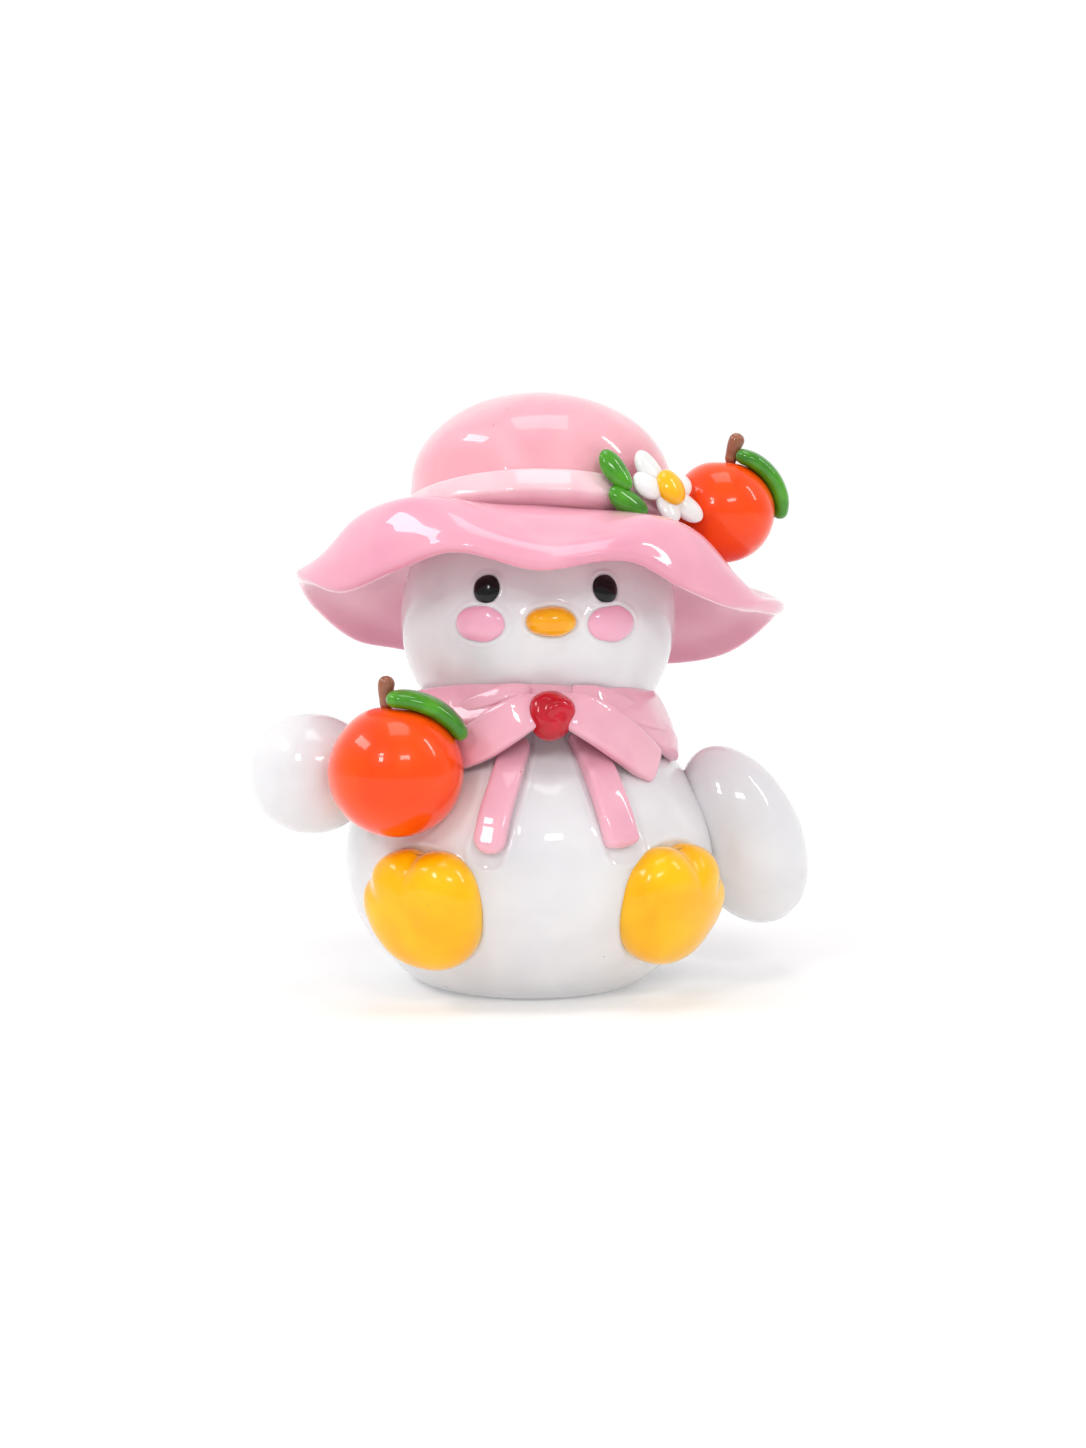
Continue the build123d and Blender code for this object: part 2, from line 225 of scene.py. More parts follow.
def hermite(t, v1, slope_1, v2, slope_2):
    """Smooth step from v1 to v2 as t goes from 0 to 1, with a slope at each end."""
    return (
        (2 * t**3 - 3 * t**2 + 1) * v1 + (t**3 - 2 * t**2 + t) * slope_1
        + (3 * t**2 - 2 * t**3) * v2 + (t**3 - t**2) * slope_2
    )


def around(points, angle, column):
    """Smooth closed curve through (degrees, ...) points, read at an angle."""
    ordered = sorted(points)
    count = len(ordered)
    angle = (angle - ordered[0][0]) % 360 + ordered[0][0]
    low = max(i for i in range(count) if ordered[i][0] <= angle)

    def point(i):
        return ordered[i % count][0] + 360 * (i // count), ordered[i % count][column]

    (a0, v0), (a1, v1), (a2, v2), (a3, v3) = [point(low + step) for step in (-1, 0, 1, 2)]
    slope_1 = (v2 - v0) / (a2 - a0) * (a2 - a1)
    slope_2 = (v3 - v1) / (a3 - a1) * (a2 - a1)
    return hermite((angle - a1) / (a2 - a1), v1, slope_1, v2, slope_2)


def curve_through(knots, steps):
    """Smooth open curve (steps, k) through a few given knots (n, k)."""
    knots = np.array(knots, float)
    gaps = np.linalg.norm(np.diff(knots[:, :3], axis=0), axis=1)
    at = np.concatenate(([0], np.cumsum(gaps)))
    slopes = np.gradient(knots, at, axis=0)
    where = np.linspace(0, at[-1], steps)
    i = np.clip(np.searchsorted(at, where, side="right") - 1, 0, len(knots) - 2)
    span = (at[i + 1] - at[i])[:, None]
    t = (where - at[i])[:, None] / span
    return hermite(t, knots[i], slopes[i] * span, knots[i + 1], slopes[i + 1] * span)


def closed_outline(points, steps):
    """Smooth closed (radius, height) outline through a few given points."""
    return curve_through([(*p, 0.0) for p in points + points[:1]], steps)[:-1, :2]


def squared_ball(directions, squareness):
    """Points of a unit ball pushed towards a cube; a squareness of 2 is a plain ball."""
    full = (np.abs(directions) ** squareness).sum(1, keepdims=True) ** (1 / squareness)
    return directions / full


def squared_circle(columns, squareness):
    """Cosines and sines of a circle pushed towards a square; a squareness of 2 is round."""
    angles = np.linspace(0, 2 * math.pi, columns, endpoint=False)
    power = 2.0 / squareness
    cos = np.sign(np.cos(angles)) * np.abs(np.cos(angles)) ** power
    sin = np.sign(np.sin(angles)) * np.abs(np.sin(angles)) ** power
    return cos, sin


def round_off(distance, reach):
    """1 away from an end, falling along a quarter circle to almost 0 at it."""
    t = np.clip(distance / reach, 0, 1)
    return np.sqrt(np.clip(1 - (1 - t) ** 2, 0.0004, 1))


# --- meshes ---
def make_object(name, points, faces):
    mesh = bpy.data.meshes.new(name)
    mesh.from_pydata((np.array(points) * MM).tolist(), [], faces)
    work = bmesh.new()
    work.from_mesh(mesh)
    bmesh.ops.recalc_face_normals(work, faces=work.faces)
    work.to_mesh(mesh)
    work.free()
    mesh.polygons.foreach_set("use_smooth", [True] * len(mesh.polygons))
    piece = bpy.data.objects.new(name, mesh)
    bpy.context.scene.collection.objects.link(piece)
    return piece


def ring_faces(rows, columns, closed):
    """Quads between rows of points, each row joined round; closed joins the last row to the first."""
    faces = []
    for r in range(rows if closed else rows - 1):
        s = (r + 1) % rows
        for c in range(columns):
            d = (c + 1) % columns
            faces.append((r * columns + c, r * columns + d, s * columns + d, s * columns + c))
    return faces


def tube_object(name, rings):
    """A closed skin over rings (rows, columns, 3), each end drawn to its middle."""
    rows, columns = rings.shape[:2]
    faces = ring_faces(rows, columns, closed=False)
    points = rings.reshape(-1, 3)
    first, last = len(points), len(points) + 1
    for c in range(columns):
        d = (c + 1) % columns
        faces.append((first, d, c))
        faces.append((last, (rows - 1) * columns + c, (rows - 1) * columns + d))
    points = np.vstack([points, rings[0].mean(0), rings[-1].mean(0)])
    return make_object(name, points, faces)


def torus_object(name, rings):
    """A closed ring-shaped skin over sections (rows, columns, 3), joined both ways."""
    faces = ring_faces(*rings.shape[:2], closed=True)
    return make_object(name, rings.reshape(-1, 3), faces)


def lathe(profile, columns):
    """Rings (rows, columns, 3) turned about z from (radius, height) points."""
    profile = np.array(profile)
    angles = np.linspace(0, 2 * math.pi, columns, endpoint=False)
    return np.stack([
        profile[:, 0, None] * np.cos(angles), profile[:, 0, None] * np.sin(angles),
        np.repeat(profile[:, 1, None], columns, 1),
    ], axis=-1)


def ball_mesh(level):
    """Directions and faces of an evenly divided ball."""
    work = bmesh.new()
    bmesh.ops.create_icosphere(work, subdivisions=level, radius=1.0)
    directions = np.array([v.co for v in work.verts], float)
    faces = [tuple(v.index for v in f.verts) for f in work.faces]
    work.free()
    return unit(directions), faces


def sculpt(name, level, shape):
    """A ball divided level times, whose skin is shape(directions), in millimetres."""
    directions, faces = ball_mesh(level)
    return make_object(name, shape(directions), faces)


def strap(name, knots, outward, steps, columns, squareness, end_round=0.5):
    """A bar along knots of (x, y, z, width, thickness); outward(points) gives its face's normals."""
    line = curve_through(knots, steps)
    centre, width, thick = line[:, :3], line[:, 3], line[:, 4]
    along = unit(np.gradient(centre, axis=0))
    face = outward(centre)
    face = unit(face - (face * along).sum(1, keepdims=True) * along)
    side = np.cross(along, face)
    run = np.concatenate(([0], np.cumsum(np.linalg.norm(np.diff(centre, axis=0), axis=1))))
    near_end = np.minimum(run, run[-1] - run)
    narrow = round_off(near_end, end_round * width)
    thin = round_off(near_end, 0.5 * thick)
    cos, sin = squared_circle(columns, squareness)
    across = side[:, None, :] * (cos[None, :, None] * (width * narrow / 2)[:, None, None])
    up = face[:, None, :] * (sin[None, :, None] * (thick * thin / 2)[:, None, None])
    return tube_object(name, centre[:, None, :] + across + up)


# --- materials ---
# lengths are millimetres; a dust speck's radius is a share of the spacing
DUST_SPACING = 9
DUST_SHARE = 0.014
DUST_COLOUR = (0.16, 0.09, 0.07, 1)
ROUGHNESS_PATCH = 5
COAT_SWELL_LENGTH = 8
COAT_SWELL_HEIGHT = 1.2
GLOW_REACH = 2.5


def new_material(name):
    material = bpy.data.materials.new(name)
    material.use_nodes = True
    nodes = material.node_tree.nodes
    place = nodes.new("ShaderNodeTexCoord")
    return material, nodes, material.node_tree.links, nodes["Principled BSDF"], place


def texture(nodes, links, place, kind, length):
    """A texture node laid in the piece's own space, its features about a length apart."""
    node = nodes.new("ShaderNodeTex" + kind)
    node.inputs["Scale"].default_value = 1 / (length * MM)
    links.new(place.outputs["Object"], node.inputs["Vector"])
    return node


def tones(nodes, links, source, low, high, between=(0.0, 1.0)):
    """A colour that goes from low to high as a texture's value does."""
    ramp = nodes.new("ShaderNodeValToRGB")
    for element, position, colour in zip(ramp.color_ramp.elements, between, (low, high)):
        element.position = position
        element.color = (*colour, 1)
    links.new(source.outputs["Fac"], ramp.inputs["Fac"])
    return ramp


def bumps(nodes, links, source, strength, height):
    """A normal that rises and falls with a texture's value, by up to a height."""
    node = nodes.new("ShaderNodeBump")
    node.inputs["Strength"].default_value = strength
    node.inputs["Distance"].default_value = height * MM
    links.new(source.outputs["Fac"], node.inputs["Height"])
    return node


def resin(name, colour, deep, cloud_size, glow=0.0, glow_depth=(1.0, 0.6, 0.5), wave=0.12, rough=0.3,
          coat=1.0, coat_ior=1.4):
    """Cast resin under a poured clear coat: cloudy pigment, a slightly wavy coat and fine dust."""
    material, nodes, links, shader, place = new_material(name)
    cloud = texture(nodes, links, place, "Noise", cloud_size)
    cloud.inputs["Detail"].default_value = 3.0
    cloud.inputs["Roughness"].default_value = 0.45
    cloud.inputs["Distortion"].default_value = 0.6
    pigment = tones(nodes, links, cloud, deep, colour, (0.32, 0.66))
    dust = texture(nodes, links, place, "Voronoi", DUST_SPACING)
    dust.inputs["Randomness"].default_value = 1.0
    speck = nodes.new("ShaderNodeMath")
    speck.operation = "LESS_THAN"
    speck.inputs[1].default_value = DUST_SHARE
    links.new(dust.outputs["Distance"], speck.inputs[0])
    specked = nodes.new("ShaderNodeMix")
    specked.data_type = "RGBA"
    specked.inputs["B"].default_value = DUST_COLOUR
    links.new(speck.outputs["Value"], specked.inputs["Factor"])
    links.new(pigment.outputs["Color"], specked.inputs["A"])
    links.new(specked.outputs["Result"], shader.inputs["Base Color"])
    patches = texture(nodes, links, place, "Noise", ROUGHNESS_PATCH)
    spread = nodes.new("ShaderNodeMapRange")
    spread.inputs["To Min"].default_value = rough - 0.06
    spread.inputs["To Max"].default_value = rough + 0.08
    links.new(patches.outputs["Fac"], spread.inputs["Value"])
    links.new(spread.outputs["Result"], shader.inputs["Roughness"])
    swell = texture(nodes, links, place, "Noise", COAT_SWELL_LENGTH)
    swell.inputs["Detail"].default_value = 1.0
    wavy = bumps(nodes, links, swell, wave, COAT_SWELL_HEIGHT)
    links.new(wavy.outputs["Normal"], shader.inputs["Coat Normal"])
    shader.inputs["Specular IOR Level"].default_value = 0.15
    shader.inputs["Coat Weight"].default_value = coat
    shader.inputs["Coat Roughness"].default_value = 0.02
    shader.inputs["Coat IOR"].default_value = coat_ior
    shader.inputs["Subsurface Weight"].default_value = glow
    shader.inputs["Subsurface Radius"].default_value = glow_depth
    shader.inputs["Subsurface Scale"].default_value = GLOW_REACH * MM
    return material


def rubber(name):
    material, nodes, links, shader, place = new_material(name)
    grain = texture(nodes, links, place, "Noise", 0.5)
    shade = tones(nodes, links, grain, (0.56, 0.56, 0.54), (0.72, 0.72, 0.69))
    links.new(shade.outputs["Color"], shader.inputs["Base Color"])
    matt = bumps(nodes, links, grain, 0.2, 0.1)
    links.new(matt.outputs["Normal"], shader.inputs["Normal"])
    shader.inputs["Roughness"].default_value = 0.6
    return material


def dowel_wood(name):
    material, nodes, links, shader, place = new_material(name)
    grain = texture(nodes, links, place, "Wave", 2)
    grain.inputs["Distortion"].default_value = 3.0
    shade = tones(nodes, links, grain, (0.45, 0.30, 0.17), (0.62, 0.46, 0.29))
    links.new(shade.outputs["Color"], shader.inputs["Base Color"])
    shader.inputs["Roughness"].default_value = 0.7
    return material


WHITE = resin("milk_white", (0.80, 0.79, 0.80), (0.72, 0.71, 0.73), 16, 0.35, (1.0, 0.85, 0.8), 0.16)
PETAL_WHITE = resin("petal_white", (0.86, 0.86, 0.85), (0.79, 0.79, 0.78), 6, 0.2, (1.0, 0.9, 0.85), 0.1)
PINK = resin("hat_pink", (0.85, 0.42, 0.48), (0.80, 0.35, 0.42), 15, 0.15, wave=0.1)
PALE_PINK = resin("band_pink", (0.86, 0.58, 0.63), (0.82, 0.50, 0.56), 9, 0.15, wave=0.1)
# painted shade: the brim is the crown's pink resin made darker, to stand for the shade it lies in
SHADED_BRIM_PINK = resin("shaded_brim_pink", (0.82, 0.38, 0.48), (0.76, 0.32, 0.43), 18, 0.15, wave=0.1)
SCARF_PINK = resin("scarf_pink", (0.85, 0.45, 0.54), (0.80, 0.39, 0.49), 10, 0.15, wave=0.12)
CHEEK_PINK = resin("cheek_pink", (0.87, 0.44, 0.57), (0.84, 0.40, 0.53), 6, 0.15, wave=0.1)
BLACK = resin("eye_black", (0.006, 0.006, 0.007), (0.003, 0.003, 0.003), 4, wave=0.06, rough=0.2, coat=0.55)
BEAK_YELLOW = resin("beak_yellow", (0.94, 0.46, 0.002), (0.92, 0.36, 0.001), 5, 0.1, wave=0.12)
YELLOW = resin("foot_yellow", (0.95, 0.54, 0.002), (0.93, 0.43, 0.001), 12, 0.12, wave=0.14, coat_ior=1.3)
FLOWER_YELLOW = resin("flower_yellow", (0.95, 0.52, 0.003), (0.92, 0.42, 0.002), 4, 0.1, wave=0.1)
RED = resin("rose_red", (0.58, 0.003, 0.02), (0.44, 0.002, 0.012), 4, 0.05, wave=0.12)
ORANGE = resin("fruit_orange", (0.95, 0.075, 0.001), (0.90, 0.05, 0.001), 11, 0.08, wave=0.1, coat_ior=1.3)
BROWN = resin("stem_brown", (0.34, 0.13, 0.07), (0.24, 0.08, 0.04), 3, wave=0.12)
GREEN = resin("leaf_green", (0.07, 0.34, 0.012), (0.03, 0.19, 0.008), 6, wave=0.14)
RUBBER = rubber("stopper_rubber")
WOOD = dowel_wood("dowel_wood")


def keep(piece, material, slot, *nodes):
    """Gives a finished piece its material and body, and hides the CAD nodes it stands for; the slot is not
    used.
    """
    piece.data.materials.clear()
    piece.data.materials.append(material)
    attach(piece, FIGURE)
    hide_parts(*nodes)


# --- camera, lights and floor ---
CAMERA_PLACE = Vector((-54.8, -446.6, 100.0)) * MM
CAMERA_TARGET = Vector((0.0, 0.0, 61.0)) * MM
CAMERA_LENS = 55.94
CAMERA_SENSOR = 36.0
CAMERA_SHIFT = (0.009, -0.033)

# name, place, size, power in watts; they all face the figure's middle
LIGHTS = [
    ("key", (-640, -60, 640), (420, 150), 1.9),
    ("window_low", (-430, -640, 470), (100, 90), 0.8),
    ("window_high", (-430, -600, 575), (100, 60), 0.5),
    ("right_strip", (640, -220, 560), (50, 380), 1.2),
    ("front", (160, -900, 620), (300, 120), 1.9),
    ("top", (0, -100, 900), (400, 400), 1.7),
]
LIGHT_TARGET = Vector((0, 0, 60)) * MM
# the room is dimmer in front of the figure than behind it
ROOM_LIGHT = 0.48
BACKDROP_LIGHT = 1.02
FLOOR_HALF_SIZE = 3000.0
# the floor glows more the further back it is, so that it meets the backdrop without a line
FLOOR_GLOW = (0.30, 0.80)
FLOOR_GLOW_REACH = (100 * MM, 1200 * MM)


def face_towards(thing, target):
    thing.rotation_euler = (target - thing.location).to_track_quat("-Z", "Y").to_euler()


def map_range(nodes, links, source, reach, result):
    """A value that goes across the result as the source goes across the reach."""
    node = nodes.new("ShaderNodeMapRange")
    node.inputs["From Min"].default_value, node.inputs["From Max"].default_value = reach
    node.inputs["To Min"].default_value, node.inputs["To Max"].default_value = result
    links.new(source, node.inputs["Value"])
    return node.outputs["Result"]


def make_camera():
    data = bpy.data.cameras.new("camera")
    data.sensor_width = CAMERA_SENSOR
    data.lens = CAMERA_LENS
    data.shift_x, data.shift_y = CAMERA_SHIFT
    camera = bpy.data.objects.new("camera", data)
    bpy.context.scene.collection.objects.link(camera)
    camera.location = CAMERA_PLACE
    face_towards(camera, CAMERA_TARGET)
    bpy.context.scene.camera = camera


def soft_box(name, place, size, power):
    """A rectangular studio light that faces the figure."""
    data = bpy.data.lights.new(name, "AREA")
    data.shape = "RECTANGLE"
    data.size, data.size_y = [s * MM for s in size]
    data.energy = power
    light = bpy.data.objects.new(name, data)
    bpy.context.scene.collection.objects.link(light)
    light.location = Vector(place) * MM
    face_towards(light, LIGHT_TARGET)


def make_studio():
    world = bpy.data.worlds.new("studio")
    bpy.context.scene.world = world
    world.use_nodes = True
    nodes, links = world.node_tree.nodes, world.node_tree.links
    way = nodes.new("ShaderNodeTexCoord")
    parts = nodes.new("ShaderNodeSeparateXYZ")
    links.new(way.outputs["Generated"], parts.inputs["Vector"])
    strength = map_range(nodes, links, parts.outputs["Y"], (-0.1, 0.7), (ROOM_LIGHT, BACKDROP_LIGHT))
    sky = nodes["Background"]
    sky.inputs["Color"].default_value = (1.0, 1.0, 1.0, 1)
    links.new(strength, sky.inputs["Strength"])
    for light in LIGHTS:
        soft_box(*light)


def make_floor():
    half = FLOOR_HALF_SIZE
    corners = [(-half, -half, 0), (half, -half, 0), (half, half, 0), (-half, half, 0)]
    floor = make_object("floor", corners, [(0, 1, 2, 3)])
    material, nodes, links, shader, place = new_material("floor_white")
    paper = texture(nodes, links, place, "Noise", 3)
    shade = tones(nodes, links, paper, (0.74, 0.74, 0.74), (0.76, 0.76, 0.76))
    links.new(shade.outputs["Color"], shader.inputs["Base Color"])
    links.new(shade.outputs["Color"], shader.inputs["Emission Color"])
    parts = nodes.new("ShaderNodeSeparateXYZ")
    links.new(place.outputs["Object"], parts.inputs["Vector"])
    glow = map_range(nodes, links, parts.outputs["Y"], FLOOR_GLOW_REACH, FLOOR_GLOW)
    links.new(glow, shader.inputs["Emission Strength"])
    shader.inputs["Roughness"].default_value = 0.9
    shader.inputs["Specular IOR Level"].default_value = 0.0
    floor.data.materials.append(material)


# --- body, head and face ---
# the ridge of clear coat beside a set-in piece, and the low swell outside it
RIM_PLACE = 0.45
RIM_SWELL_PLACE, RIM_SWELL_HEIGHT, RIM_SWELL_WIDTH = 1.6, 0.10, 1.0
FAR_AWAY = 50.0

# a scarf tail's middle line from the bow down: x, z on the body's front
TAILS = {
    "left": [(-4.8, 50.8), (-8.2, 43.8), (-10.5, 38.2), (-12.3, 31.0)],
    "right": [(7.6, 51.2), (10.4, 43.5), (12.0, 37.8), (13.4, 31.6)],
}
TAIL_WIDTHS = {"left": 5.7, "right": 6.4}


def body_surface_y(x, z):
    """The body's front surface, y at a given x and z."""
    across = (x / BODY_HALF_WIDTH) ** 2
    upward = ((z - BODY_CENTRE_Z) / BODY_HALF_HEIGHT) ** 2
    return -BODY_HALF_WIDTH * math.sqrt(max(1 - across - upward, 0.0))


def body_normals(points):
    semi = np.array((BODY_HALF_WIDTH, BODY_HALF_WIDTH, BODY_HALF_HEIGHT))
    return unit((points - np.array((0, 0, BODY_CENTRE_Z))) / semi**2)


def coat_rim(gap, height=0.42, width=0.45):
    """The little ridge that the clear coat makes against a set-in piece, by distance from its edge."""
    swell = RIM_SWELL_HEIGHT * bump(gap - RIM_SWELL_PLACE, RIM_SWELL_WIDTH)
    return height * bump(gap - RIM_PLACE, width) + swell


def outline_gap(place, points, half_x, half_z):
    """Distance from an elliptic outline in a frame whose -y looks out; 8 mm behind it is far away."""
    local = back(place, points)
    reach = np.sqrt((local[:, 0] / half_x) ** 2 + (local[:, 2] / half_z) ** 2)
    gap = (reach - 1) * min(half_x, half_z)
    return np.where(local[:, 1] > 8, FAR_AWAY, gap)


def segment_gap(points, start, end, half_width):
    """Distance from a straight bar's outline, seen from the front."""
    flat = points[:, [0, 2]]
    start, end = np.array(start), np.array(end)
    run = end - start
    t = np.clip(((flat - start) @ run) / (run @ run), 0, 1)
    gap = np.linalg.norm(flat - (start + t[:, None] * run), axis=1) - half_width
    return np.where(points[:, 1] > 0, FAR_AWAY, gap)


def face_places():
    """Each face pebble's place and half sizes."""
    return {
        "eye_left": (on_head(FACE_TURN - EYE_BEARING, EYE_LIFT, EYE_SINK), EYE_SIZE),
        "eye_right": (on_head(FACE_TURN + EYE_BEARING, EYE_LIFT, EYE_SINK), EYE_SIZE),
        "cheek_left": (on_head(FACE_TURN - CHEEK_BEARING, CHEEK_LIFT, CHEEK_SINK), CHEEK_SIZE),
        "cheek_right": (on_head(FACE_TURN + CHEEK_BEARING, CHEEK_LIFT, CHEEK_SINK), CHEEK_SIZE),
        "beak": (on_head(BEAK_BEARING, BEAK_LIFT, BEAK_SINK), BEAK_SIZE),
    }


def make_head():
    """The head's ball, with a shallow seat and a coat ridge round each face pebble."""
    def shape(directions):
        points = HEAD_CENTRE + directions * HEAD_RADIUS
        lift = uneven(points, "head")
        for place, size in face_places().values():
            gap = outline_gap(place, points, size[0], size[2])
            lift += coat_rim(gap) - SEAT_DEPTH * (gap < -SEAT_INSET)
        return points + directions * lift[:, None]

    keep(sculpt("head_ball", 7, shape), WHITE, "milk_white_resin", "head")


def body_profile():
    """(radius, height) of the outer skin from the top down, and of all that follows it inwards."""
    # the outer skin stops just short of its pole at the top and of its corner at the bottom
    top = math.pi / 2 - 0.02
    corner = -math.asin(BODY_CENTRE_Z / BODY_HALF_HEIGHT)
    outer = [
        (BODY_HALF_WIDTH * math.cos(a), BODY_CENTRE_Z + BODY_HALF_HEIGHT * math.sin(a))
        for a in np.linspace(top, corner + 0.035, 190)
    ]
    base_radius = BODY_HALF_WIDTH * math.cos(corner)
    base = [
        (base_radius - 0.1, 0.35), (base_radius - 0.8, 0.0), (base_radius - 6, 0.0), (HOLE_RADIUS + 1.2, 0.0),
        (HOLE_RADIUS + 0.3, 0.15), (HOLE_RADIUS, 0.6), (HOLE_RADIUS, BASE_THICKNESS),
    ]
    round_corner = [
        (CAVITY_CORNER * (1 - math.sin(a)), CAVITY_CORNER * (1 - math.cos(a)))
        for a in np.linspace(0, math.pi / 2, 8)
    ]
    hollow = [(CAVITY_RADIUS - inwards, BASE_THICKNESS + rise) for inwards, rise in round_corner]
    hollow += [(CAVITY_RADIUS - rise, CAVITY_TOP_Z - inwards) for inwards, rise in round_corner]
    return outer, base + hollow


def make_body():
    """Outer skin, flat underside, hole wall and hollow, turned as one closed profile."""
    outer, inner = body_profile()
    rings = lathe(outer + inner, 380)
    shape = rings[:len(outer)].shape
    skin = rings[:len(outer)].reshape(-1, 3)
    lift = uneven(skin, "body")
    for side in (-1, 1):
        gap = outline_gap(foot_place(side), skin, FOOT_SIZE[0] - 0.3, FOOT_SIZE[2] + 0.4)
        lift += coat_rim(gap, height=0.5, width=0.7) - 0.3 * (gap < -1)
    for side, line in TAILS.items():
        gap = segment_gap(skin, line[0], line[-1], TAIL_WIDTHS[side] / 2 + 0.2)
        lift += coat_rim(gap, height=0.4, width=0.5)
    # no unevenness at the very bottom, so that the body stands flat
    fade = np.clip(skin[:, 2] / 3.0, 0, 1)
    rings[:len(outer)] = (skin + body_normals(skin) * (lift * fade)[:, None]).reshape(shape)
    keep(tube_object("body", rings), WHITE, "milk_white_resin", "body_shell")


def make_face():
    """Eyes, cheeks and beak: slightly squared, slightly uneven pebbles."""
    looks = {
        "eye": (BLACK, "black_resin"),
        "cheek": (CHEEK_PINK, "cheek_pink_resin"),
        "beak": (BEAK_YELLOW, "beak_orange_resin"),
    }
    for name, (place, size) in face_places().items():
        material, slot = looks[name.split("_")[0]]

        def shape(directions):
            local = squared_ball(directions, PEBBLE_SQUARENESS) * np.array(size)
            local[:, 2] *= 1 + 0.03 * np.sin(local[:, 0] * 1.1)
            return put(place, local)

        keep(sculpt(name + "_pebble", 5, shape), material, slot, name)


# --- hat ---
def brim_line(angle, steps):
    """The middle of the brim's thickness at an angle: (radius, height) from the band outwards."""
    crest = np.array((around(BRIM_CREST, angle, 1), around(BRIM_CREST, angle, 2)))
    edge = np.array((around(BRIM_EDGE, angle, 1), around(BRIM_EDGE, angle, 2)))
    root = np.array(BRIM_ROOT)
    knee = root + BRIM_KNEE * (crest - root)
    shoulder_radius = (1 - SHOULDER_REACH) * crest[0] + SHOULDER_REACH * edge[0] + SHOULDER_BULGE
    shoulder = np.array((shoulder_radius, (crest[1] + edge[1]) / 2))
    knots = np.array([(*p, 0.0) for p in (root, knee, crest, shoulder, edge)])
    return curve_through(knots, steps)[:, :2]


def brim_section(angle, steps=46, lip_steps=9):
    """The brim's closed (radius, height) section at an angle: upper side, rounded lip, lower side."""
    line = brim_line(angle, steps)
    along = unit(np.gradient(line, axis=0))
    normal = np.stack([-along[:, 1], along[:, 0]], axis=1)
    half = np.interp(np.arange(steps), [0, steps * THICKEST_AT, steps - 1], BRIM_SWELL) * BRIM_THICKNESS / 2
    upper = line + normal * half[:, None]
    lower = line - normal * half[:, None]
    swing = np.radians(np.linspace(90, -90, lip_steps + 2)[1:-1])
    lip = [line[-1] + half[-1] * (math.sin(a) * normal[-1] + LIP_ROUNDNESS * math.cos(a) * along[-1])
           for a in swing]
    return np.vstack([upper, lip, lower[::-1]])


def make_brim():
    """The wavy brim, one section for every degree round the hat."""
    rings = []
    for angle in np.arange(0, 360, 1.0):
        section = brim_section(angle)
        bearing = math.radians(angle)
        rings.append(np.stack([
            section[:, 0] * math.sin(bearing), -section[:, 0] * math.cos(bearing), section[:, 1]], axis=1))
    rings = np.array(rings)
    flat = rings.reshape(-1, 3)
    flat = flat + unit(flat - np.array((0, 0, -30))) * uneven(flat, "brim")[:, None]
    rings = put(hat_place(), flat).reshape(rings.shape)
    keep(torus_object("brim", rings), SHADED_BRIM_PINK, "pink_resin", "hat_brim")


def make_crown():
    """A thin domed crown: its outer skin from the top down, its foot, and its inner skin back up."""
    def dome(radius, height, steps):
        return [
            (radius * math.cos(a), CROWN_SHOULDER + (height - CROWN_SHOULDER) * math.sin(a))
            for a in np.linspace(math.pi / 2 - 0.012, 0, steps)
        ]

    outside = dome(CROWN_RADIUS, CROWN_HEIGHT, 90)
    outside += [(CROWN_RADIUS, h) for h in np.linspace(CROWN_SHOULDER, CROWN_FOOT, 14)[1:]]
    foot = [(CROWN_RADIUS - 0.2, 4.4), (CROWN_RADIUS - 1.2, 3.6), (CROWN_RADIUS - 3.0, 3.6)]
    inside = dome(CROWN_RADIUS - CROWN_WALL, CROWN_HEIGHT - CROWN_WALL, 30)[::-1]
    rings = lathe(outside + foot + inside, 260)
    flat = rings.reshape(-1, 3)
    flat = flat + unit(flat - np.array((0, 0, 4.0))) * uneven(flat, "crown")[:, None]
    rings = put(hat_place(), flat).reshape(rings.shape)
    keep(tube_object("crown", rings), PINK, "pink_resin", "hat_crown")


def make_band():
    """A soft flat band, thicker at its lower edge, that sits over the foot of the crown."""
    outline = [
        (25.6, 8.2), (26.6, 8.4), (27.6, 7.9), (28.1, 6.9), (28.6, 5.6), (29.0, 4.4), (29.1, 3.4),
        (28.5, 2.6), (27.2, 1.8), (25.0, 1.2), (24.2, 2.4), (24.2, 6.0),
    ]
    rings = lathe(closed_outline(outline, 60), 300)
    flat = rings.reshape(-1, 3)
    angle = np.arctan2(flat[:, 0], -flat[:, 1])
    # its height wanders by a third of a millimetre, twice round the hat
    flat[:, 2] += 0.35 * np.sin(2 * angle + 0.6) * (flat[:, 2] > 1)
    flat = flat + unit(flat * (1, 1, 0)) * uneven(flat, "band")[:, None]
    rings = put(hat_place(), flat).reshape(rings.shape)
    keep(torus_object("band", rings), PALE_PINK, "pale_pink_resin", "hat_band")


# --- fruit ---
# centre, radius, lean of the stem and of the leaf in degrees
FRUITS = {
    "held_fruit": ((-28.7, -27.5, 45.8), 12.9, -8, 28),
    "hat_fruit": ((38.4, -3.0, 93.9), 10.6, 9, 54),
}
# the stem from its foot up: sideways, up, width, thickness
STEM = [(0, 0, 2.5, 2.5), (0.1, 2.0, 2.6, 2.5), (0.4, 4.2, 3.1, 2.8), (1.0, 6.4, 3.3, 2.9)]
# the leaf from end to end: share of its half length, width, thickness
LEAF = [(-1, 3.8, 2.8), (-0.6, 5.4, 3.4), (0, 6.2, 3.6), (0.55, 5.6, 3.5), (1, 4.0, 2.8)]
LEAF_HALF_LENGTH = 9.0
LEAF_STAND_OFF = 1.3
LEAF_TIP_FORWARD = 12


